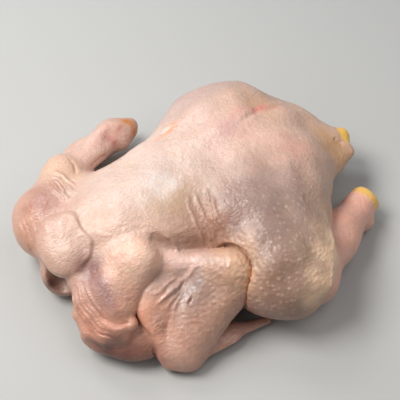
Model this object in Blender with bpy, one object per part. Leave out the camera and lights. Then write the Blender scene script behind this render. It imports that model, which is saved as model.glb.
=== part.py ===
"""Whole dressed chicken, raw and with its skin on, lying on its breast with its back up.

The neck end points to -X and the tail to +X, with the backbone close to the X axis.  One leg and one
folded wing lie on each side.  The bird is one piece of food, so it is one closed body.

Each muscle is named below with its real place and size.  A rounded muscle is an ellipsoid and a limb is
a tapered rod with round ends, which may be flattened.  They are joined by voxel remeshing and smoothed,
first the trunk with wide hollows between its muscles and then the limbs with narrow ones, and the body
is cut level where its weight presses it flat on the table.
"""

import math

import bmesh
import bpy
from mathutils import Matrix, Vector

MM = 0.001

# Sizes in millimetres.  A muscle is (centre, half sizes, yaw, pitch) with the angles in degrees.
TRUNK = {
    "rib_cage": ((-38.5, -1.5, 43), (81.5, 55, 38), 0, -2),
    "pelvis": ((53.5, -5, 44.5), (57, 46.5, 39.5), 0, 3),
    "loin": ((7, -3.5, 44.5), (60, 48, 36), 0, 0),
    "near_hip": ((38, -32.5, 43), (48, 39.5, 37), 0, 0),
    "far_hip": ((34.5, 22.5, 44.5), (50, 38, 36), 0, 0),
    "far_flank": ((-10.5, 29, 38), (51.5, 38, 36), 12, 0),
    "near_breast": ((-70.5, -51.5, 20.5), (50.5, 43, 24), 14, 0),
    "far_breast": ((-79, 32.5, 22.5), (53.5, 38, 26.5), -14, 0),
    "belly": ((26, -3.5, 20.5), (57, 41.5, 22.5), 0, 0),
    "near_thigh": ((38, -69.5, 35.5), (47.5, 47.5, 38.5), -10, 0),
    "far_thigh": ((39.5, 57, 41.5), (50.5, 41.5, 41.5), 6, 0),
}
ROUNDS = {
    "neck_skin": ((-107.5, -1.5, 58.5), (29, 26.5, 15.5), -22, 0),
    "crop": ((-115, -7, 20.5), (17, 17, 22.5), 0, 0),
    "near_hock": ((132.5, -35.5, 18), (7.5, 11, 11), 32, 0),
    "far_hock": ((136.5, 28.5, 23), (7.5, 11, 11), -32, 0),
    "far_shoulder": ((-112, 32.5, 34.5), (28.5, 30, 31), -20, 0),
    "far_shoulder_joint": ((-91, 63, 44.5), (16.5, 16.5, 16.5), 0, 0),
}

# A limb is (one end, other end, radius at one end, radius at the other, thin direction, thin ratio).
ROUND = ((0, 0, 1), 1.0)
WING_FACE = (-0.07, -0.545, 0.835)
LIMBS = {
    "near_drumstick": ((53.5, -84.5, 23), (93, -57, 20.5), 23, 14.5, *ROUND),
    "near_shank": ((93, -57, 20.5), (125.5, -38, 18), 14, 10, *ROUND),
    "far_drumstick": ((58.5, 63.5, 36), (94.5, 51.5, 34.5), 23, 16.5, *ROUND),
    "far_shank": ((94.5, 51.5, 34.5), (130.5, 30, 23), 15.5, 10, *ROUND),
    "tail_root": ((86, -3.5, 55), (110, 1.5, 43), 20.5, 14.5, (0.5, 0, 1), 0.6),
    "tail_tip": ((116, 1, 36), (132.5, 6, 38), 10.5, 7, *ROUND),
    "neck": ((-69, -5, 48), (-108.5, 1.5, 43), 20.5, 20.5, *ROUND),
    "near_shoulder": ((-70.5, -39.5, 51.5), (-91, -56, 38), 26, 24, *ROUND),
    "near_upper_wing": ((-57, -40.5, 46.5), (-3.5, -66, 55), 13, 12, *ROUND),
    "near_forearm": ((-8.5, -72, 48), (-52.5, -100, 17), 21.5, 20, WING_FACE, 0.48),
    "near_wing_web": ((-43, -54, 50), (-61, -68, 41.5), 14.5, 15.5, WING_FACE, 0.35),
    "near_wing_edge": ((-66, -69, 38), (-66, -95.5, 17), 10.5, 11, WING_FACE, 0.6),
    "near_hand": ((-49, -100.5, 9.5), (-17, -98, 8.5), 13, 8.5, (0, 0.3, 1), 0.7),
    "near_wing_tip": ((-18, -96.5, 7.5), (14, -97, 4.5), 7, 3, (0, 0.3, 1), 0.8),
    "far_upper_wing": ((-81.5, 68, 43), (-38.5, 93, 38), 11.5, 12, *ROUND),
    "far_forearm": ((-39.5, 96.5, 29), (-70.5, 96.5, 14), 12, 13, *ROUND),
    "far_hand": ((-75.5, 96.5, 10.5), (-14.5, 115, 17), 8.5, 3, *ROUND),
}

TRUNK_VOXEL = 3.5
TRUNK_HOLLOWS = 26.0
TRUNK_SMOOTHING = 8
BODY_VOXEL = 2.2
BODY_SMOOTHING = 5
MOST_TRIANGLES = 9400
TABLE_BLOCK = 60.0

SKIN_COLOUR = (0.79, 0.60, 0.50, 1.0)
SKIN_ROUGHNESS = 0.38


def clear_scene():
    for obj in list(bpy.data.objects):
        bpy.data.objects.remove(obj, do_unlink=True)


def frame_of(x_axis, z_axis, origin):
    """Matrix whose X runs along one direction and whose Z is another made square to it."""
    x = Vector(x_axis).normalized()
    z = Vector(z_axis)
    z = (z - x * z.dot(x)).normalized()
    y = z.cross(x)
    turn = Matrix((x, y, z)).transposed().to_4x4()
    return Matrix.Translation(Vector(origin)) @ turn


def add_muscle(bm, centre, half_sizes, yaw, pitch):
    """An ellipsoid with half_sizes along its own axes, raised by pitch and then turned by yaw."""
    turn = Matrix.Rotation(math.radians(yaw), 4, "Z") @ Matrix.Rotation(math.radians(-pitch), 4, "Y")
    place = Matrix.Translation(Vector(centre)) @ turn @ Matrix.Diagonal((*half_sizes, 1.0))
    bmesh.ops.create_icosphere(bm, subdivisions=5, radius=1.0, matrix=place)


def add_limb(bm, start, end, start_radius, end_radius, thin, ratio):
    """The hull of two balls, pressed thinner by ratio along the direction thin."""
    axis = Vector(end) - Vector(start)
    rod = bmesh.new()
    for along, radius in ((0.0, start_radius), (axis.length, end_radius)):
        place = Matrix.Translation((along, 0.0, 0.0))
        bmesh.ops.create_icosphere(rod, subdivisions=4, radius=radius, matrix=place)
    hull = bmesh.ops.convex_hull(rod, input=rod.verts)
    inside = [v for v in hull["geom_interior"] if isinstance(v, bmesh.types.BMVert)]
    bmesh.ops.delete(rod, geom=inside, context="VERTS")
    place = frame_of(axis, thin, start) @ Matrix.Diagonal((1.0, 1.0, ratio, 1.0))
    bmesh.ops.transform(rod, matrix=place, verts=rod.verts)
    mesh = bpy.data.meshes.new("limb")
    rod.to_mesh(mesh)
    rod.free()
    bm.from_mesh(mesh)
    bpy.data.meshes.remove(mesh)


def object_from(bm, name):
    mesh = bpy.data.meshes.new(name)
    bm.to_mesh(mesh)
    bm.free()
    obj = bpy.data.objects.new(name, mesh)
    bpy.context.scene.collection.objects.link(obj)
    return obj


def add_modifier(obj, kind, **settings):
    modifier = obj.modifiers.new(kind.title(), kind)
    for key, value in settings.items():
        setattr(modifier, key, value)
    modifier.show_render = modifier.show_viewport
    return modifier


def add_fused_skin(obj, voxel, smoothing):
    """Joins everything in the object into one closed skin and softens its creases."""
    add_modifier(obj, "REMESH", mode="VOXEL", voxel_size=voxel, use_smooth_shade=True)
    add_modifier(obj, "SMOOTH", factor=0.5, iterations=smoothing)


def add_round_hollows(obj, voxel, radius):
    """Swells the body by radius and shrinks it again, which leaves each hollow rounded to that radius."""
    add_modifier(obj, "DISPLACE", direction="NORMAL", mid_level=0.0, strength=radius)
    add_fused_skin(obj, voxel, 2)
    add_modifier(obj, "DISPLACE", direction="NORMAL", mid_level=0.0, strength=-radius)


def baked_mesh(obj):
    bpy.context.view_layer.update()
    graph = bpy.context.evaluated_depsgraph_get()
    return bpy.data.meshes.new_from_object(obj.evaluated_get(graph), depsgraph=graph)


def make_trunk():
    bm = bmesh.new()
    for centre, half_sizes, yaw, pitch in TRUNK.values():
        add_muscle(bm, centre, half_sizes, yaw, pitch)
    trunk = object_from(bm, "trunk")
    add_fused_skin(trunk, TRUNK_VOXEL, 2)
    add_round_hollows(trunk, TRUNK_VOXEL, TRUNK_HOLLOWS)
    add_fused_skin(trunk, TRUNK_VOXEL, TRUNK_SMOOTHING)
    mesh = baked_mesh(trunk)
    bpy.data.objects.remove(trunk, do_unlink=True)
    return mesh


def make_bird():
    bm = bmesh.new()
    bm.from_mesh(make_trunk())
    for centre, half_sizes, yaw, pitch in ROUNDS.values():
        add_muscle(bm, centre, half_sizes, yaw, pitch)
    for limb in LIMBS.values():
        add_limb(bm, *limb)
    bird = object_from(bm, "fused_bird")
    add_fused_skin(bird, BODY_VOXEL, BODY_SMOOTHING)
    triangles = sum(len(face.vertices) - 2 for face in baked_mesh(bird).polygons)
    add_modifier(bird, "DECIMATE", ratio=MOST_TRIANGLES / triangles, use_collapse_triangulate=True)
    return bird


def rest_on_table(bird):
    """Cuts the body level at the height of the table, z = 0."""
    bm = bmesh.new()
    place = Matrix.Translation((0.0, 0.0, -TABLE_BLOCK / 2)) @ Matrix.Diagonal((600.0, 600.0, TABLE_BLOCK, 1.0))
    bmesh.ops.create_cube(bm, size=1.0, matrix=place)
    table = object_from(bm, "table_cutter")
    table.hide_render = True
    table.display_type = "WIRE"
    add_modifier(bird, "BOOLEAN", operation="DIFFERENCE", solver="EXACT", object=table)
    mesh = baked_mesh(bird)
    bpy.data.objects.remove(bird, do_unlink=True)
    bpy.data.objects.remove(table, do_unlink=True)
    return mesh


def skin_material():
    material = bpy.data.materials.new("raw_chicken_skin")
    material.use_nodes = True
    shader = material.node_tree.nodes["Principled BSDF"]
    shader.inputs["Base Color"].default_value = SKIN_COLOUR
    shader.inputs["Roughness"].default_value = SKIN_ROUGHNESS
    shader.inputs["Metallic"].default_value = 0.0
    material.diffuse_color = SKIN_COLOUR
    return material


def main():
    clear_scene()
    mesh = rest_on_table(make_bird())
    xs = [v.co.x for v in mesh.vertices]
    ys = [v.co.y for v in mesh.vertices]
    middle = Vector(((min(xs) + max(xs)) / 2, (min(ys) + max(ys)) / 2, 0.0))
    mesh.transform(Matrix.Scale(MM, 4) @ Matrix.Translation(-middle))
    mesh.shade_smooth()
    mesh.materials.clear()
    mesh.materials.append(skin_material())
    chicken = bpy.data.objects.new("chicken", mesh)
    bpy.context.scene.collection.objects.link(chicken)


main()
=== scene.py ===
import math

import bpy
import numpy as np
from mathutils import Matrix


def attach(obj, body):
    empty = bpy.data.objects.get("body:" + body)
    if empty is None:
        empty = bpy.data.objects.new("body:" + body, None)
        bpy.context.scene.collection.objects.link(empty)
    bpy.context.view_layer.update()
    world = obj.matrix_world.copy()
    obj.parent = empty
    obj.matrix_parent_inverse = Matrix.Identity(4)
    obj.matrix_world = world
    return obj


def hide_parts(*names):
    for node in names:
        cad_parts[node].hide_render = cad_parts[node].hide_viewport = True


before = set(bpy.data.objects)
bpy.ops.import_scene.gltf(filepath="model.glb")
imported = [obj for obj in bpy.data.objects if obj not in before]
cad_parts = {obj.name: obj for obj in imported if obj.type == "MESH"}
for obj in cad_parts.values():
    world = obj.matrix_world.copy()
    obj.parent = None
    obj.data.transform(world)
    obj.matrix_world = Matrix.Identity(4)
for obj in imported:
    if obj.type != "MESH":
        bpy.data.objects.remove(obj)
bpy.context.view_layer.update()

# The stage: a plain pale floor, four soft lamps and the camera above the bird's near side.  The key lamp
# stands off the neck end, a small cool one off the far side puts the sheen on the back, and two weak ones,
# in front of the neck and off the tail, open up the shadows.
MM = 0.001
VIEW_TURN, VIEW_RISE = math.radians(-23.0), math.radians(55.0)
VIEW_TARGET = np.array([-2.6, 0.0, 43.0]) * MM
VIEW_DISTANCE = 0.658
LAMP_DISTANCE = 1.1

bpy.context.scene.view_settings.view_transform = "Standard"


def away(turn, rise):
    """The direction that a turn about the vertical and a rise above the floor look back along."""
    return np.array([
        math.sin(turn) * math.cos(rise),
        -math.cos(turn) * math.cos(rise),
        math.sin(rise),
    ])


def placed(data, back, place):
    """Puts a camera or a lamp at place, with its own +Z along back, so that it looks the other way."""
    right = np.cross([0.0, 0.0, 1.0], back)
    right /= np.linalg.norm(right)
    matrix = np.eye(4)
    matrix[:3, 0], matrix[:3, 1] = right, np.cross(back, right)
    matrix[:3, 2], matrix[:3, 3] = back, place
    made = bpy.data.objects.new(data.name, data)
    bpy.context.scene.collection.objects.link(made)
    made.matrix_world = matrix.T.tolist()
    return made


def soft_lamp(name, turn, rise, size, watts, colour):
    """A round lamp of a size in metres that shines on the bird from a turn and a rise in degrees."""
    lamp = bpy.data.lights.new(name, "AREA")
    lamp.shape = "DISK"
    lamp.size, lamp.energy, lamp.color = size, watts, colour
    back = away(math.radians(turn), math.radians(rise))
    return placed(lamp, back, VIEW_TARGET + back * LAMP_DISTANCE)


camera = bpy.data.cameras.new("camera")
camera.lens, camera.sensor_width = 76.5, 36.0
camera.clip_start, camera.clip_end = 0.01, 20.0
view_back = away(VIEW_TURN, VIEW_RISE)
bpy.context.scene.camera = placed(camera, view_back, VIEW_TARGET + view_back * VIEW_DISTANCE)

soft_lamp("key_lamp", turn=245, rise=58, size=0.6, watts=12.1, colour=(1.0, 0.98, 0.95))
soft_lamp("sheen_lamp", turn=195, rise=48, size=0.35, watts=3.4, colour=(0.92, 0.96, 1.0))
soft_lamp("front_lamp", turn=290, rise=45, size=0.8, watts=1.6, colour=(1.0, 0.98, 0.96))
soft_lamp("fill_lamp", turn=67, rise=60, size=1.0, watts=3.8, colour=(1.0, 0.98, 0.96))

world = bpy.data.worlds.new("studio")
world.use_nodes = True
room_light = world.node_tree.nodes["Background"].inputs
room_light["Color"].default_value = (0.92, 0.96, 1.0, 1.0)
room_light["Strength"].default_value = 0.12
bpy.context.scene.world = world

floor_mesh = bpy.data.meshes.new("floor")
floor_corners = [(-4, -4, 0), (4, -4, 0), (4, 4, 0), (-4, 4, 0)]
floor_mesh.from_pydata(floor_corners, [], [(0, 1, 2, 3)])
floor = bpy.data.objects.new("floor", floor_mesh)
bpy.context.scene.collection.objects.link(floor)
floor_paint = bpy.data.materials.new("pale_floor")
floor_paint.use_nodes = True
floor_finish = floor_paint.node_tree.nodes["Principled BSDF"].inputs
floor_finish["Base Color"].default_value = (0.45, 0.45, 0.44, 1)
floor_finish["Roughness"].default_value = 0.8
floor_mesh.materials.append(floor_paint)

# The flesh: the muscles of one whole bird under a single closed skin.  Each is a ball, an egg or a tapered
# rod with its real place and size in millimetres, and they run into each other through soft hollows.
STEP = 1.1  # millimetres between the fine places where the distance is worked out
COARSE = 3  # fine steps in a coarse one


def turned(yaw, pitch=0.0):
    """The axes, as columns, of an egg raised by pitch and then turned by yaw about the vertical."""
    a, b = math.radians(yaw), math.radians(pitch)
    about_z = np.array([[math.cos(a), -math.sin(a), 0], [math.sin(a), math.cos(a), 0], [0, 0, 1]])
    about_y = np.array([[math.cos(b), 0, -math.sin(b)], [0, 1, 0], [math.sin(b), 0, math.cos(b)]])
    return about_z @ about_y


def egg(points, centre, half_sizes, yaw=0.0, pitch=0.0):
    """Distance to an ellipsoid: k (k - 1) / m, with k the length of the point over the half sizes and m
    its length over their squares."""
    q = (points - np.array(centre, points.dtype)) @ turned(yaw, pitch).astype(points.dtype)
    half = np.array(half_sizes, points.dtype)
    k = np.sqrt(((q / half) ** 2).sum(-1))
    m = np.sqrt(((q / half**2) ** 2).sum(-1))
    return k * (k - 1) / np.maximum(m, 1e-6)


def limb(points, start, end, start_radius, end_radius, thin=None, ratio=1.0):
    """Distance to a tapered rod: how far the point is from its nearest place on the axis, less the radius
    there.  A flat rod is measured in a space stretched along thin by 1 / ratio."""
    start, end = np.array(start, points.dtype), np.array(end, points.dtype)
    axis = end - start
    square = float(axis @ axis)
    q = points - start
    if thin is not None:
        thin = np.array(thin, points.dtype)
        thin = thin - axis * (thin @ axis) / square
        thin /= np.linalg.norm(thin)
        q = q + ((q @ thin) * (1 / ratio - 1))[..., None] * thin
    along = np.clip((q @ axis) / square, 0, 1)
    off = q - along[..., None] * axis
    reach = np.sqrt((off**2).sum(-1))
    distance = reach - (start_radius + (end_radius - start_radius) * along)
    if thin is not None:
        lean = (off @ thin) / np.maximum(reach, 1e-6)
        distance = distance / np.sqrt(1 - lean**2 + (lean / ratio) ** 2)
    return distance


def fused(*shapes, hollow):
    """The union of several shapes: the least distance, less h h hollow / 4 where two come within hollow,
    with h their nearness from 0 to 1."""
    joined = shapes[0]
    for other in shapes[1:]:
        h = np.maximum(hollow - np.abs(joined - other), 0) / hollow
        joined = np.minimum(joined, other) - h * h * hollow / 4
    return joined


def carved(shape, cutter, hollow):
    """The shape less the cutter, with its edge rounded over hollow."""
    return -fused(-shape, cutter, hollow=hollow)


def roll(points, path, radii, hollow=2.0):
    """Distance to a soft tube through a row of places, each with its own radius."""
    rods = [limb(points, path[i], path[i + 1], radii[i], radii[i + 1]) for i in range(len(path) - 1)]
    return fused(*rods, hollow=hollow)


WING_FACE = (-0.07, -0.545, 0.835)  # the way that the flat of the near wing faces
FLAP_FACE = (-0.26, -0.42, 0.87)  # the way that the flat of the neck flap faces


def trunk(p):
    """The back, the two halves of the breast, the belly and the thick of both thighs.  A hollow is pressed
    in beside the near upper wing."""
    body = fused(
        egg(p, (-38.5, -1.5, 42.5), (81.5, 55, 37.5), 0, -2),
        egg(p, (51.5, -5, 43.5), (55.5, 46.5, 38.5), 0, 3),
        hollow=34,
    )
    body = fused(body, egg(p, (-10.5, 29, 38), (51.5, 38, 36), 12), hollow=17)
    body = fused(
        body,
        egg(p, (38, -32.5, 43), (48, 39.5, 36)),
        egg(p, (34.5, 22.5, 44), (50, 38, 35)),
        hollow=20,
    )
    breast = fused(
        egg(p, (-70.5, -51.5, 15.5), (50.5, 43.5, 18.5), 14),
        egg(p, (-79, 32.5, 22.5), (53.5, 38, 26.5), -14),
        hollow=9,
    )
    body = fused(body, breast, egg(p, (26, -3.5, 20.5), (57, 41.5, 22.5)), hollow=17)
    body = fused(
        body,
        egg(p, (34.5, -69.5, 36), (43, 46.5, 38), -10),
        egg(p, (41.5, 57, 41), (51, 41.5, 41), 2),
        hollow=24,
    )
    return carved(body, limb(p, (-53, -43, 70), (-16, -59, 60), 8, 7), hollow=8)


def near_leg(p):
    """The drumstick that sticks out behind, and the two knobs of its hock, which is cut off flat."""
    shank = fused(
        limb(p, (54, -83, 24), (92, -58, 21), 24, 15.5),
        limb(p, (92, -58, 21), (125.5, -38, 18), 16, 11),
        hollow=15,
    )
    hock = fused(
        limb(p, (119, -42.5, 17.5), (131, -35.5, 17.5), 10.5, 11.5),
        egg(p, (123, -50, 10), (8.5, 8, 8)),
        hollow=4,
    )
    past_cut = p @ np.array([0.86, 0.51, 0.0], p.dtype) - 97.5
    return carved(fused(shank, hock, hollow=6), -past_cut, hollow=3)


def far_leg(p):
    """The other drumstick, tucked in beside the tail, with the skin of the knee stretched over it."""
    shank = fused(
        limb(p, (60, 62, 38), (97, 45, 38), 22, 16),
        limb(p, (97, 45, 38), (126, 19, 34), 15.5, 9.5),
        hollow=15,
    )
    leg = fused(shank, egg(p, (134, 16.5, 35), (8, 10.5, 9.5), -35), hollow=6)
    return fused(leg, limb(p, (84, 38, 47), (119, 16, 38), 19, 12), hollow=8)


def tail(p):
    """The flat stub of the tail and its blunt point."""
    return fused(
        limb(p, (84, -4, 54), (106, 0, 44), 20, 15, (0.5, 0, 1), 0.6),
        limb(p, (104, -9, 43), (130, 1, 39), 11, 6.5, (0.45, 0, 1), 0.55),
        hollow=10,
    )


def neck_stump(p):
    """The root of the neck, and the loose skin below it with a shallow opening hollowed out of its front."""
    stump = fused(
        limb(p, (-69, -5, 48), (-108.5, 1.5, 43), 20.5, 20.5),
        egg(p, (-115, -7, 20.5), (17, 17, 22.5)),
        hollow=5,
    )
    return carved(stump, egg(p, (-123, -20, 32), (11, 12, 15.5), 0, 20), hollow=4)


def neck_flap(p):
    """The flap of loose neck skin that is folded back over the shoulders."""
    return fused(
        limb(p, (-110, -11.5, 59.5), (-107, -3.5, 63), 17.5, 17, FLAP_FACE, 0.42),
        limb(p, (-115.5, 1, 60), (-112, -18, 55.5), 11.5, 11.5, FLAP_FACE, 0.42),
        hollow=14,
    )


def near_shoulder(p):
    """The round of the shoulder above the near wing, and the meat in front of it."""
    bulge = fused(
        limb(p, (-73, -41, 56.5), (-89, -59.5, 44.5), 17, 15, (-0.1, -0.6, 0.8), 0.74),
        egg(p, (-65, -42.5, 61), (13, 13, 13)),
        hollow=9,
    )
    return fused(bulge, egg(p, (-96, -44, 42), (14, 18, 14)), hollow=8)


def forearm(p):
    """The flat middle joint of the near wing, thicker along both bones, and the elbow at its top."""
    paddle = fused(
        limb(p, (-13, -72.5, 46), (-55, -99, 16.5), 20.5, 18, WING_FACE, 0.42),
        limb(p, (-19, -66, 49.5), (-59, -93.5, 19), 6.5, 8.5),
        limb(p, (-6, -78.5, 42.5), (-54, -102, 14), 8.5, 8),
        hollow=12,
    )
    return fused(paddle, egg(p, (-3.5, -70, 53), (15, 15, 13)), hollow=6)


def near_wing(p):
    """The whole near wing: forearm and upper arm, the hand folded back under them, and the thin web of skin
    that fills the bend and ends in a rolled edge."""
    arm = fused(forearm(p), limb(p, (-57, -41.5, 47), (-10, -63, 51), 12, 9.5), hollow=6)
    hand = fused(
        limb(p, (-53, -99.5, 9.5), (-17, -98, 8.5), 12, 8.5, (0, 0.3, 1), 0.7),
        limb(p, (-18, -96.5, 7.5), (14, -97, 4.5), 7, 3, (0, 0.3, 1), 0.8),
        hollow=5,
    )
    edge = [(-71, -70.5, 38), (-68.5, -81, 31.5), (-68, -89.5, 24), (-68, -97, 16.5), (-65, -101, 10)]
    web = fused(
        limb(p, (-43, -56, 50), (-62, -70, 40), 15, 15, WING_FACE, 0.3),
        limb(p, (-62, -70, 40), (-64, -88, 26), 14, 10, WING_FACE, 0.35),
        roll(p, edge, [4.5, 5.5, 5.5, 6.5, 8]),
        hollow=7,
    )
    return fused(arm, hand, web, hollow=3)


def far_wing(p):
    """The far wing, held out from the shoulder, with its point, and its forearm and hand folded under it."""
    return fused(
        limb(p, (-81.5, 68, 43), (-38.5, 93, 38), 11.5, 12),
        limb(p, (-42, 93, 38), (-27, 94, 37), 11, 7.5),
        limb(p, (-26, 95, 37.5), (-34, 84, 34), 5.5, 5.5),
        limb(p, (-30, 95, 38), (-20.5, 98.5, 38), 5.5, 2.2),
        limb(p, (-39.5, 96.5, 29), (-70.5, 96.5, 14), 12, 13),
        limb(p, (-75.5, 96.5, 10.5), (-20, 112, 17), 8.5, 3),
        hollow=8,
    )


def collar(p):
    """The loose neck skin, pushed down into rolls under the near shoulder and hanging over the breast."""
    path = [
        (-106, -19, 50), (-107, -31, 45), (-107, -45, 40), (-104, -57, 37),
        (-100, -66, 33), (-94, -73, 33), (-86, -76, 37),
    ]
    band = roll(p, path, [10, 9.5, 10, 10, 9.5, 8, 5], hollow=4)
    rim = [(-112, -38, 36), (-115, -51, 30), (-113, -64, 27), (-105, -74, 27), (-93, -80, 30)]
    heap = fused(band, roll(p, rim, [4, 6, 6, 5.5, 4]), hollow=4.5)
    return fused(heap, egg(p, (-113, -62, 20), (7.5, 7.5, 9)), hollow=4)


def bird(p):
    """Distance from the skin, in millimetres, negative inside, with the underside pressed flat at z = 0."""
    body = fused(trunk(p), near_leg(p), hollow=1.5)
    body = fused(body, far_leg(p), hollow=16)
    body = fused(body, tail(p), hollow=8)
    body = fused(body, neck_stump(p), hollow=5)
    far_shoulder = fused(
        egg(p, (-112, 32.5, 34.5), (28.5, 30, 31), -20),
        egg(p, (-91, 63, 44.5), (16.5, 16.5, 16.5)),
        hollow=18,
    )
    body = fused(body, far_shoulder, hollow=12)
    body = fused(body, near_shoulder(p), hollow=8)
    valley = roll(p, [(-92, -28, 77), (-95, -45, 75), (-98, -62, 69), (-101, -76, 58)], [8, 9, 9, 7])
    body = carved(body, valley, hollow=6)
    body = fused(body, collar(p), hollow=5)
    body = fused(body, neck_flap(p), hollow=1.8)
    # The forearm stands free of the thigh by 2 mm, in a slot no more than 5 mm deep.
    body = carved(body, np.maximum(forearm(p) - 2, -body - 5), hollow=3)
    body = fused(body, near_wing(p), hollow=1.2)
    body = fused(body, far_wing(p), hollow=4)
    return -fused(-body, p[..., 2], hollow=1.0)


def finer(values, times):
    """Values on a grid, with times - 1 more between each two along every axis, read off straight lines."""
    for axis in range(3):
        low = np.take(values, range(values.shape[axis] - 1), axis)
        high = np.take(values, range(1, values.shape[axis]), axis)
        parts = [low + (high - low) * (i / times) for i in range(times)]
        between = np.stack(parts, axis + 1)
        shape = list(low.shape)
        shape[axis] *= times
        last = np.take(values, [values.shape[axis] - 1], axis)
        values = np.concatenate([between.reshape(shape), last], axis)
    return values


def skin_of(distance, low, high, step, coarse):
    """A closed skin of four-sided faces where the distance is zero.  The distance is worked out on a coarse
    grid everywhere, and on a fine one within about two coarse cells of the skin.  Each fine cell that the
    skin crosses gets one point, at the mean of the places where it cuts the cell's edges, and each cut edge
    gives a face between the four cells round it."""
    count = np.ceil((high - low) / (step * coarse)).astype(int) + 1
    axes = [low[i] + step * coarse * np.arange(count[i], dtype=np.float32) for i in range(3)]
    grid = distance(np.stack(np.meshgrid(*axes, indexing="ij"), -1).astype(np.float32))
    grid = finer(grid, coarse)
    near = np.argwhere(np.abs(grid) < 2.2 * step * coarse)
    grid[tuple(near.T)] = distance((near * step + low).astype(np.float32))

    inside = grid < 0
    first_and_last = slice(None, -1), slice(1, None)
    corners = sum(
        inside[i, j, k].astype(np.int8)
        for i in first_and_last for j in first_and_last for k in first_and_last
    )
    cells = np.argwhere((corners > 0) & (corners < 8))
    number = np.full(corners.shape, -1, np.int64)
    number[tuple(cells.T)] = np.arange(len(cells))

    total, cuts = np.zeros((len(cells), 3)), np.zeros(len(cells))
    for axis in range(3):
        first, second = [other for other in range(3) if other != axis]
        for u in (0, 1):
            for v in (0, 1):
                offset = np.zeros(3, int)
                offset[first], offset[second] = u, v
                a = grid[tuple((cells + offset).T)]
                offset[axis] = 1
                b = grid[tuple((cells + offset).T)]
                cut = (a < 0) != (b < 0)
                place = np.zeros((len(cells), 3))
                place[:, first], place[:, second] = u, v
                place[:, axis] = a / np.where(cut, a - b, 1)
                total += place * cut[:, None]
                cuts += cut
    points = (cells + total / cuts[:, None]) * step + low

    faces = []
    for axis in range(3):
        first, second = [other for other in range(3) if other != axis]
        window = [slice(1, -1)] * 3
        window[axis] = slice(0, -1)
        a = inside[tuple(window)]
        window[axis] = slice(1, None)
        b = inside[tuple(window)]
        edge = np.argwhere(a != b)
        out = a[tuple(edge.T)] ^ (axis == 1)
        edge[:, first] += 1
        edge[:, second] += 1
        ring = []
        for u, v in ((1, 1), (0, 1), (0, 0), (1, 0)):
            cell = edge.copy()
            cell[:, first] -= u
            cell[:, second] -= v
            ring.append(number[tuple(cell.T)])
        ring = np.stack(ring, 1)
        faces.append(np.where(out[:, None], ring, ring[:, ::-1]))
    return points, np.concatenate(faces)


def slope(distance, points, reach=0.35):
    """The outward direction: how the distance changes along each axis, made one long."""
    change = np.stack([
        distance(points + reach * axis) - distance(points - reach * axis) for axis in np.eye(3)
    ], -1)
    return change / np.maximum(np.linalg.norm(change, axis=-1, keepdims=True), 1e-9)


low, high = np.array([-146.0, -123.0, -4.0]), np.array([152.0, 126.0, 92.0])
points, faces = skin_of(bird, low, high, STEP, COARSE)
# Two moves along the slope bring each point right onto the skin.
for _ in range(2):
    points = points - bird(points)[:, None] * slope(bird, points)
outward = slope(bird, points)


# The folds: loose skin gathers into rolls, ridges and creases where the limbs meet the body.  Each is a
# curve over the skin that lifts it or presses it in, and folds that lie side by side fan out between two
# curves.  Heights and widths are in millimetres.
chance = np.random.default_rng(14)


def waves(places, length, count=24):
    """Soft unevenness about one unit high: the sum of count sine waves about length millimetres long, which
    run in directions picked at random, over the root of half their number."""
    ways = chance.normal(size=(count, 3))
    reach = np.linalg.norm(ways, axis=1, keepdims=True)
    ways *= (2 * math.pi / length) * chance.uniform(0.6, 1.5, (count, 1)) / reach
    starts = chance.uniform(0, 2 * math.pi, count)
    return np.sin(places @ ways.T + starts).sum(1) / math.sqrt(count / 2)


def ramp(values, start, end):
    """0 before start and 1 past end, with a smooth S between."""
    share = np.clip((values - start) / (end - start), 0, 1)
    return share * share * (3 - 2 * share)


def patch(places, centre, reach, yaw=0.0, edge=3):
    """1 in the middle of an egg-shaped patch of skin and 0 outside: 1 / (1 + k ^ edge), with k the length
    of the place over the patch's half sizes."""
    q = (places - np.array(centre)) @ turned(yaw)
    k = np.sqrt(((q / np.array(reach)) ** 2).sum(1))
    return 1 / (1 + k**edge)


def curve(path, pieces=5):
    """A smooth curve through a row of places: each stretch is a cubic whose ends slope as the chord between
    the places on either side."""
    path = np.array(path, float)
    padded = np.concatenate([[2 * path[0] - path[1]], path, [2 * path[-1] - path[-2]]])
    before, start, end, after = padded[:-3], padded[1:-2], padded[2:-1], padded[3:]
    t = np.arange(pieces)[:, None, None] / pieces
    cubic = start + t * (end - before) / 2
    cubic = cubic + t**2 * (2 * before - 5 * start + 4 * end - after) / 2
    cubic = cubic + t**3 * (3 * start - 3 * end + after - before) / 2
    return np.concatenate([cubic.transpose(1, 0, 2).reshape(-1, 3), path[-1:]])


# How far each point of the skin is lifted, and the places that folds are measured from, which wander a
# little so that no fold runs true.
lift = np.zeros(len(points))
wandering = points + 0.7 * np.stack([waves(points, 16.0) for _ in range(3)], 1)


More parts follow.
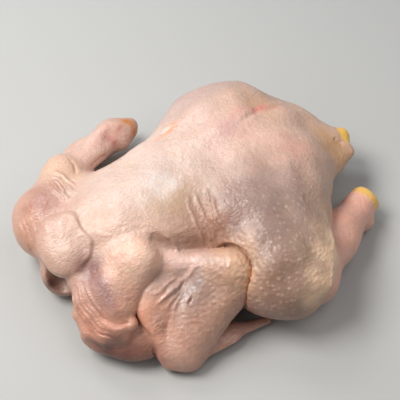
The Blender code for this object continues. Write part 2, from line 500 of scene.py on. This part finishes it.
def fold(path, height, width, lip=False):
    """Lifts the skin along a curve by height times exp(-(d / width) ^ 2), with d the distance across the
    skin, less towards both ends.  A lip lifts the left side of the curve and presses in its right side."""
    line = curve(path)
    margin = 4 * width + 8
    near = np.flatnonzero(((wandering > line.min(0) - margin) & (wandering < line.max(0) + margin)).all(1))
    q, up = wandering[near], outward[near]
    nearest = np.full(len(near), np.inf)
    along, side = np.zeros(len(near)), np.zeros(len(near))
    for i in range(len(line) - 1):
        axis = line[i + 1] - line[i]
        t = np.clip((q - line[i]) @ axis / (axis @ axis), 0, 1)
        off = q - line[i] - t[:, None] * axis
        rise = (off * up).sum(1)
        across = np.sqrt(np.maximum((off**2).sum(1) - rise**2, 0) + (rise / 6) ** 4)
        closer = across < nearest
        nearest = np.where(closer, across, nearest)
        along = np.where(closer, (i + t) / (len(line) - 1), along)
        side = np.where(closer, np.sign((np.cross(axis, off) * up).sum(1)), side)
    ends = ramp(np.minimum(along, 1 - along), -0.02, 0.2)
    if lip:
        shape = side * np.tanh(nearest / 0.8) * np.exp(-nearest / width)
    else:
        shape = np.exp(-((nearest / width) ** 2))
    lift[near] += height * ends * shape


def fan(first, last, count, height, width):
    """A number of folds side by side, from one guide curve across to another, with uneven gaps, heights and
    ends."""
    first, last = curve(first, 3), curve(last, 3)
    for i in range(count):
        share = (i + chance.uniform(-0.25, 0.25)) / (count - 1)
        line = first + (last - first) * share
        start, end = chance.integers(0, 2, 2)
        line = line[start : len(line) - end]
        fold(line, height * chance.uniform(0.6, 1.25), width * chance.uniform(0.8, 1.2))


# The neck flap: a lip parts it from the back and the near shoulder, and a ridge runs beside the neck's
# opening.
fold(
    [
        (-104, -31, 58), (-100, -29, 61), (-95, -26, 65), (-93, -20, 69),
        (-95, -10, 71), (-96, -2, 72), (-96, 6, 72),
    ],
    1.2, 4.5, lip=True,
)
fold([(-129, -4, 40), (-124, -10, 40), (-120, -19, 45), (-117, -22, 36)], 1.5, 2.5)

# The collar: rolls of neck skin under the near shoulder, and the crease above the lowest of them.
fan(
    [
        (-115, -32, 52), (-117, -45, 44), (-117, -56, 38), (-113, -66, 34),
        (-107, -74, 32), (-99, -80, 33), (-90, -82, 37),
    ],
    [
        (-108, -34, 54), (-107, -44, 53), (-105, -54, 50), (-103, -63, 46),
        (-100, -71, 42), (-94, -76, 42), (-87, -78, 43),
    ],
    6, 1.3, 1.2,
)
fold([(-104, -62, 47), (-100, -70, 42), (-93, -76, 42), (-86, -78, 44)], -1.3, 1.3)

# The far shoulder: slanting ridges, upright ones round the front, and a crease behind the round of the wing.
fan(
    [(-106, 48, 61), (-102, 34, 64), (-99, 21, 66)],
    [(-98, 58, 59), (-91, 49, 58), (-85, 28, 67)],
    6, 2.1, 1.3,
)
fan(
    [(-132, 34, 56), (-133, 17, 49), (-132, 8, 30)],
    [(-125, 29, 62), (-127, 14, 58), (-128, 3, 50)],
    4, 1.3, 1.4,
)
fold([(-82, 67, 58), (-81, 59, 57), (-83, 51, 57)], -1.2, 1.6)

# The flank: steep pleats in front of the thigh, and one thin cord behind the wing.
fan(
    [(-19, -14, 78), (-20, -33, 72), (-17, -50, 60)],
    [(0, -12, 79), (-1, -35, 74), (2, -56, 66)],
    10, 1.4, 0.9,
)
fold([(-44, -34, 72), (-39, -41, 66), (-35, -48, 60)], 1.6, 1.2)

# The near wing: the edge of the forearm, then a tendon and two thin cords in the web.
fold(
    [
        (-26, -63, 60), (-33, -62, 55), (-40, -65, 49), (-49, -72, 44),
        (-56, -80, 38), (-62, -88, 32), (-66, -97, 28),
    ],
    1.2, 4.0, lip=True,
)
fold(
    [(-24, -63, 61), (-32, -62, 56), (-39, -64, 51), (-49, -67, 48), (-59, -70, 46), (-67, -73, 44)],
    1.5, 1.3,
)
fold([(-45, -62, 51), (-56, -64, 49), (-66, -66, 47)], 0.9, 1.0)
fold([(-43, -67, 48), (-51, -72, 45), (-59, -79, 41)], 0.8, 1.1)

# The arched skin above the shoulder, small pleats over the web's front edge, and four folds low on the
# forearm, where the hand folds back.
fan(
    [(-77, -33, 74), (-68, -33, 76), (-58, -33, 75), (-49, -38, 71)],
    [(-72, -20, 75), (-57, -22, 77), (-46, -28, 75), (-38, -38, 68)],
    7, 0.7, 1.1,
)
fan([(-72, -37, 76), (-79, -42, 73)], [(-78, -31, 74), (-86, -38, 70)], 4, 0.6, 1.1)
fan(
    [(-74, -79, 38), (-69, -79, 40), (-63, -78, 38)],
    [(-73, -99, 20), (-70, -99, 23), (-66, -99, 25)],
    13, 0.5, 0.8,
)
fan(
    [(-14, -102, 28), (-22, -104, 30), (-30, -108, 26)],
    [(-6, -102, 12), (-20, -108, 10), (-30, -111, 12)],
    4, 0.8, 1.3,
)

# The thigh: a fold of fat hangs over the drumstick, with faint curved lines on it.
fold(
    [
        (48, -113, 35), (54, -109, 46), (61, -100, 52), (68, -88, 55),
        (72, -76, 56), (75, -65, 58), (80, -54, 59),
    ],
    2.8, 6.0, lip=True,
)
fan(
    [(36, -88, 71), (50, -85, 69), (68, -74, 62)],
    [(26, -112, 50), (42, -110, 53), (58, -101, 53)],
    10, 0.25, 1.1,
)

# The back: the crease over the far hip, the small one behind the far wing, the fold beside the tail, and the
# dip between the back and the far wing.
fold([(44, 26, 84), (59, 35, 81), (72, 40, 76), (92, 45, 66), (112, 38, 53)], -1.2, 2.2)
fold([(-13, 51, 71), (-5, 51, 73), (3, 50, 77)], -1.6, 1.2)
fold([(120, 9, 49), (123, 6, 47), (129, 3, 44)], -1.4, 1.6)
fold([(-68, 62, 46), (-58, 68, 42), (-50, 73, 38)], -1.8, 2.0)

# Two nicks in the skin, one on the forearm and one on the thigh.
fold([(-43.5, -80.0, 45), (-38.5, -78.0, 47)], -1.2, 0.7)
fold([(43.5, -50, 80), (45.5, -56, 79)], -0.8, 0.8)

# The unevenness of the flesh: broad swells all over, lumps in the neck flap, fine ripples on the back,
# gooseflesh on the near wing and more of it on the elbow, and a sore pit on the far wing.
back = patch(points, (-20, 0, 84), (110, 62, 40))
near_arm = patch(points, (-30, -85, 45), (38, 34, 26), 30)
elbow = patch(points, (2, -75, 56), (14, 14, 18))
lift += 0.55 * waves(points, 34.0)
lift += 0.2 * patch(points, (-108, -8, 64), (22, 24, 20)) * waves(points, 12.0)
lift += (0.03 + 0.05 * back) * waves(points * [1.0, 1.4, 1.0], 6.5, 40)
lift += (0.02 + 0.09 * near_arm + 0.16 * elbow) * waves(points, 4.4, 40)
lift -= 3.6 * patch(points, (-43, 84, 48), (9, 5.5, 9), 30)
# The underside, pressed flat by the bird's weight, stays as it is.
lift *= ramp(points[:, 2], 0.4, 5.0)
points = points + lift[:, None] * outward


# The colour: cream and straw where fat lies under the skin, mauve and grey where muscle shows through it,
# laid on the points of the skin, with painted shade on the near side, low under the thigh, on the breast, in
# the hollow by the wing, in the valley and in the neck's opening, and a painted sheen on the back.  Each
# patch has its colour, how much of it there is, its middle, its half sizes in millimetres and its turn in
# degrees, and lies over the ones before it.
PLAIN_SKIN = (0.66, 0.44, 0.34)
SKIN_PATCHES = {
    # Painted shade: the whole near side of the bird is darkened for the shade that it lies in.
    "near side": ((0.42, 0.18, 0.12), 1.0, (-10, -105, 25), (160, 75, 60), 0),
    "back": ((0.69, 0.53, 0.46), 1.0, (-25, 15, 84), (85, 40, 40), -8),
    "rump": ((0.82, 0.55, 0.44), 1.0, (60, 5, 84), (45, 45, 40), 0),
    "far side": ((0.50, 0.36, 0.33), 0.9, (20, 85, 60), (90, 30, 50), 0),
    "far waist": ((0.83, 0.68, 0.61), 0.8, (-40, 50, 62), (32, 16, 22), 20),
    "near thigh": ((0.17, 0.115, 0.11), 0.9, (30, -50, 74), (50, 40, 36), 0),
    "thigh muscle": ((0.21, 0.135, 0.14), 0.6, (12, -48, 76), (19, 14, 20), 0),
    "thigh side": ((0.15, 0.08, 0.06), 0.8, (32, -82, 66), (30, 22, 22), 0),
    # Painted shade: the skin low under the thigh is darkened for the shade there.
    "low thigh shade": ((0.13, 0.07, 0.055), 0.9, (18, -112, 45), (44, 22, 42), 0),
    "fat fold": ((1.0, 0.70, 0.47), 1.0, (63, -92, 52), (15, 30, 24), -35),
    "flank": ((0.30, 0.12, 0.065), 0.9, (-14, -42, 67), (20, 20, 20), 0),
    "straw flank": ((0.40, 0.25, 0.13), 0.7, (-29, -17, 77), (20, 14, 14), 25),
    # A painted sheen: a pale bluish highlight laid on the back.
    "painted sheen": ((0.78, 0.71, 0.67), 0.7, (-34, 2, 80), (13, 9, 14), 20),
    # Painted shade: the hollow beside the near upper wing is darkened for the shade in it.
    "hollow": ((0.18, 0.04, 0.012), 1.0, (-44, -40, 66), (18, 9, 11), -10),
    "neck flap": ((0.62, 0.42, 0.33), 1.0, (-106, -8, 66), (24, 24, 20), -20),
    "far shoulder": ((0.31, 0.11, 0.09), 1.0, (-117, 28, 58), (15, 19, 22), -20),
    "far cap": ((0.66, 0.43, 0.29), 1.0, (-90, 60, 56), (17, 14, 18), 0),
    "front edge": ((0.66, 0.34, 0.23), 0.9, (-136, 14, 38), (12, 26, 26), 0),
    "near shoulder": ((0.98, 0.67, 0.50), 1.0, (-68, -51, 72), (20, 18, 20), 0),
    "shoulder front": ((1.0, 0.55, 0.37), 1.0, (-90, -72, 56), (20, 16, 16), 0),
    "collar": ((0.90, 0.41, 0.27), 0.9, (-107, -72, 36), (20, 20, 14), 0),
    # Mauve skin, and painted shade between the neck flap and the near shoulder.
    "valley": ((0.24, 0.11, 0.11), 0.95, (-98, -49, 60), (12, 22, 18), 5),
    # Painted shade: the breast under the near shoulder and wing is made very dark for the shade it lies in.
    "breast": ((0.08, 0.012, 0.008), 1.0, (-96, -88, 20), (34, 22, 16), 10),
    # Dark red flesh, and painted shade that makes the neck's shallow opening near black.
    "neck opening shade": ((0.04, 0.004, 0.004), 1.0, (-123, -14, 24), (9, 9, 12), 0),
    "upper wing": ((0.80, 0.55, 0.48), 0.9, (-38, -53, 60), (24, 10, 12), -25),
    "web": ((0.44, 0.30, 0.27), 0.8, (-56, -62, 48), (13, 9, 12), -30),
    "wing edge": ((0.92, 0.39, 0.24), 1.0, (-68, -85, 34), (10, 16, 16), 0),
    "wrist": ((0.33, 0.07, 0.06), 0.8, (-72, -103, 19), (9, 9, 10), 0),
    "lower wing": ((0.46, 0.26, 0.19), 0.9, (-38, -92, 38), (32, 28, 30), 30),
    "wing heel": ((0.62, 0.36, 0.27), 0.8, (-56, -106, 24), (16, 12, 14), 30),
    "wing bruise": ((0.28, 0.24, 0.24), 0.7, (-36, -72, 52), (14, 9, 12), 30),
    "elbow": ((0.64, 0.38, 0.23), 1.0, (-1, -74, 60), (12, 14, 16), 0),
    "wing tip": ((0.60, 0.33, 0.26), 0.9, (-8, -102, 12), (26, 10, 12), 0),
    "tail": ((0.54, 0.30, 0.14), 0.9, (116, 0, 46), (16, 18, 16), 0),
    "far wing": ((0.70, 0.46, 0.39), 0.9, (-58, 80, 46), (30, 16, 24), 30),
    "far wing sore": ((0.36, 0.12, 0.10), 0.9, (-43, 82, 49), (8, 5, 8), 30),
    "far wing point": ((0.52, 0.19, 0.03), 1.0, (-27, 95, 40), (9, 8, 8), 0),
    "straw hip": ((0.62, 0.37, 0.21), 0.6, (66, 47, 74), (22, 16, 14), 0),
    "blush": ((0.62, 0.35, 0.33), 0.7, (34, 27, 84), (14, 10, 10), 30),
    "rear blush": ((0.62, 0.27, 0.21), 0.4, (72, -4, 80), (16, 10, 12), 0),
    "red crease": ((0.78, 0.24, 0.22), 0.8, (68, 39, 77), (12, 3, 8), 12),
    "orange crease": ((0.82, 0.31, 0.15), 0.9, (-5, 51, 73), (9, 2.2, 6), 0),
}

# The near drumstick is pinker from the fat fold on.  The last patches, with sharper edges, are the yellow
# cut ends of the legs and two nicks.
LEG_SKIN = (0.82, 0.44, 0.34)
CRISP_PATCHES = {
    "far hock": ((0.92, 0.54, 0.10), 1.0, (138, 15, 38), (10, 12, 11), 0),
    "near hock": ((0.84, 0.50, 0.14), 1.0, (135.5, -38, 21), (9.5, 22, 20), 32),
    "wing nick": ((0.20, 0.07, 0.04), 0.8, (-41, -79, 46), (3.2, 0.8, 3), 25),
    "thigh nick": ((0.30, 0.10, 0.06), 0.7, (44, -52, 80), (1.2, 1.8, 3), 0),
}


def laid_over(tint, colour, share):
    """The tint of each point mixed with a colour, by a share from 0 to 1 for each point."""
    share = share[:, None]
    return tint * (1 - share) + np.array(colour) * share


# Places that stray from the true ones, so that the edges of the patches wander.
strayed = points + 3.0 * np.stack([waves(points, 22.0) for _ in range(3)], 1)
less_strayed = 0.7 * points + 0.3 * strayed
tint = np.tile(PLAIN_SKIN, (len(points), 1))
for colour, amount, middle, reach, yaw in SKIN_PATCHES.values():
    tint = laid_over(tint, colour, amount * patch(strayed, middle, reach, yaw))
past_fold = 1 - patch(points, (25, -70, 45), (53, 47, 40), edge=40)
tint = laid_over(tint, LEG_SKIN, 0.95 * past_fold * ramp(near_leg(points), 6.0, 2.5))
for colour, amount, middle, reach, yaw in CRISP_PATCHES.values():
    tint = laid_over(tint, colour, amount * patch(less_strayed, middle, reach, yaw, edge=20))

# How much the feather pores show: most on the thigh and the near wing.
pored_share = 0.15 + 0.85 * np.maximum(patch(points, (30, -85, 55), (60, 50, 45)), 0.9 * near_arm)


# The skin itself: one closed piece from the points above, in metres, thinned to what one piece may hold.
TO_FRAME = np.array([-2.6, 0.0, 0.0])  # brings the bird over the middle of the space that it lies in
MOST_TRIANGLES = 196000

skin_mesh = bpy.data.meshes.new("chicken_skin")
skin_mesh.vertices.add(len(points))
skin_mesh.vertices.foreach_set("co", ((points + TO_FRAME) * MM).astype(np.float32).ravel())
skin_mesh.loops.add(faces.size)
skin_mesh.loops.foreach_set("vertex_index", faces.astype(np.int32).ravel())
skin_mesh.polygons.add(len(faces))
skin_mesh.polygons.foreach_set("loop_start", np.arange(0, faces.size, 4, dtype=np.int32))
skin_mesh.update(calc_edges=True)
skin_mesh.validate()
colours = skin_mesh.attributes.new("tint", "FLOAT_COLOR", "POINT")
with_alpha = np.column_stack([tint, np.ones(len(tint))])
colours.data.foreach_set("color", with_alpha.astype(np.float32).ravel())
pores = skin_mesh.attributes.new("pores", "FLOAT", "POINT")
pores.data.foreach_set("value", pored_share.astype(np.float32))
skin = bpy.data.objects.new("chicken_skin", skin_mesh)
bpy.context.scene.collection.objects.link(skin)

thinner = skin.modifiers.new("thinner", "DECIMATE")
thinner.ratio = min(1.0, MOST_TRIANGLES / (2 * len(faces)))
thinned = skin.evaluated_get(bpy.context.evaluated_depsgraph_get())
skin.data = bpy.data.meshes.new_from_object(thinned)
skin.modifiers.clear()
skin.data.shade_smooth()


# The finish: moist, slightly see-through skin with a soft gloss, blotched by what lies under it, dotted with
# pale feather pores and broken up by tiny wrinkles.
class Wire:
    """An output of a node.  Plus, minus and times on it each add a Math node."""

    def __init__(self, paint, socket):
        self.paint, self.socket = paint, socket

    def maths(self, operation, *values):
        return self.paint.add("Math", {"operation": operation}, dict(enumerate(values)))

    def __add__(self, other):
        return self.maths("ADD", self, other)

    def __radd__(self, other):
        return self.maths("ADD", other, self)

    def __sub__(self, other):
        return self.maths("SUBTRACT", self, other)

    def __rsub__(self, other):
        return self.maths("SUBTRACT", other, self)

    def __mul__(self, other):
        return self.maths("MULTIPLY", self, other)

    def __rmul__(self, other):
        return self.maths("MULTIPLY", other, self)


class Paint:
    """A material built up node by node."""

    def __init__(self, name):
        self.material = bpy.data.materials.new(name)
        self.material.use_nodes = True
        self.tree = self.material.node_tree
        self.shader = self.tree.nodes["Principled BSDF"]

    def add(self, kind, settings, values, output=0):
        """Adds a node of a kind: first its settings, then the value or link of each input."""
        node = self.tree.nodes.new("ShaderNode" + kind)
        for name, value in settings.items():
            setattr(node, name, value)
        self.join(node, values)
        return Wire(self, node.outputs[output])

    def join(self, node, values):
        for name, value in values.items():
            if isinstance(value, Wire):
                self.tree.links.new(value.socket, node.inputs[name])
            else:
                node.inputs[name].default_value = value

    def blend(self, first, second, factor, kind="MIX"):
        """Two colours mixed: inputs 0, 6 and 7 of a Mix node are its factor and its two colours."""
        settings = {"data_type": "RGBA", "blend_type": kind}
        return self.add("Mix", settings, {0: factor, 6: first, 7: second}, output=2)

    def step(self, value, start, end, low=0.0, high=1.0):
        """A smooth rise from low to high as the value goes from start to end."""
        settings = {"interpolation_type": "SMOOTHSTEP"}
        return self.add("MapRange", settings, {0: value, 1: start, 2: end, 3: low, 4: high})

    def noise(self, place, size, detail=2.0, roughness=0.5):
        """Soft noise about 0.5, with lumps of a size in metres."""
        return self.add("TexNoise", {}, {
            "Vector": place, "Scale": 1 / size, "Detail": detail, "Roughness": roughness,
        })

    def cells(self, place, size, feature="F1"):
        """Distance from the nearest of a scatter of points about a size in metres apart."""
        return self.add("TexVoronoi", {"feature": feature}, {"Vector": place, "Scale": 1 / size})


paint = Paint("raw_skin")
place = paint.add("TexCoord", {}, {}, output=3)  # Object coordinates
tinted = paint.add("Attribute", {"attribute_name": "tint"}, {})
pored = paint.add("Attribute", {"attribute_name": "pores"}, {}, output=2)

# Blotches and flecks in the brightness, then rosy and straw-coloured clouds.
blotch = paint.noise(place, 0.016, 3.0, 0.6)
fleck = paint.noise(place, 0.0035, 3.0, 0.65)
brightness = 1.0 + (blotch - 0.5) * 0.22 + (fleck - 0.5) * 0.24
shade = paint.add("CombineColor", {}, {0: brightness, 1: brightness, 2: brightness})
shaded = paint.blend(tinted, shade, 1.0, "MULTIPLY")
rosy = paint.step(paint.noise(place, 0.011, 4.0, 0.6), 0.52, 0.72)
shaded = paint.blend(shaded, (1.0, 0.86, 0.84, 1.0), rosy * 0.5, "MULTIPLY")
straw = paint.step(paint.noise(place, 0.02, 3.0, 0.6), 0.5, 0.7)
shaded = paint.blend(shaded, (1.0, 0.97, 0.88, 1.0), straw * 0.5, "MULTIPLY")

# Pale feather pores, and a few small brown freckles.
pore = paint.step(paint.cells(place, 0.0044), 0.46, 0.06) * pored
shaded = paint.blend(shaded, (0.80, 0.58, 0.42, 1.0), pore * 0.26)
freckle = paint.step(paint.cells(place, 0.034), 0.035, 0.02)
shaded = paint.blend(shaded, (0.42, 0.17, 0.10, 1.0), freckle * 0.55)

# The relief: tiny wrinkles, a little longer along the bird than across it, pebbly skin and raised pores.
crinkle = paint.add("VectorMath", {"operation": "MULTIPLY"}, {0: place, 1: (1.0, 1.35, 1.2)})
wrinkles = paint.noise(crinkle, 0.0019, 3.0, 0.55)
pebbles = paint.cells(place, 0.0026, "SMOOTH_F1")
relief = wrinkles * (1.25 - pored * 0.8) - pebbles * 0.5 + pore * 0.35
bump = paint.add("Bump", {}, {"Strength": 0.6, "Distance": 0.001, "Height": relief})
damp = paint.step(paint.noise(place, 0.009, 2.0, 0.5), 0.35, 0.7)

paint.join(paint.shader, {
    "Base Color": shaded,
    "Roughness": 0.48 - damp * 0.14,
    "Normal": bump,
    "Subsurface Weight": 0.2,
    "Subsurface Radius": (1.0, 0.42, 0.26),
    "Subsurface Scale": 0.0025,
    "Specular IOR Level": 0.7,
    "Coat Weight": 0.1,
    "Coat Roughness": 0.2,
})
skin.data.materials.clear()
skin.data.materials.append(paint.material)

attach(skin, "root")
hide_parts("chicken")
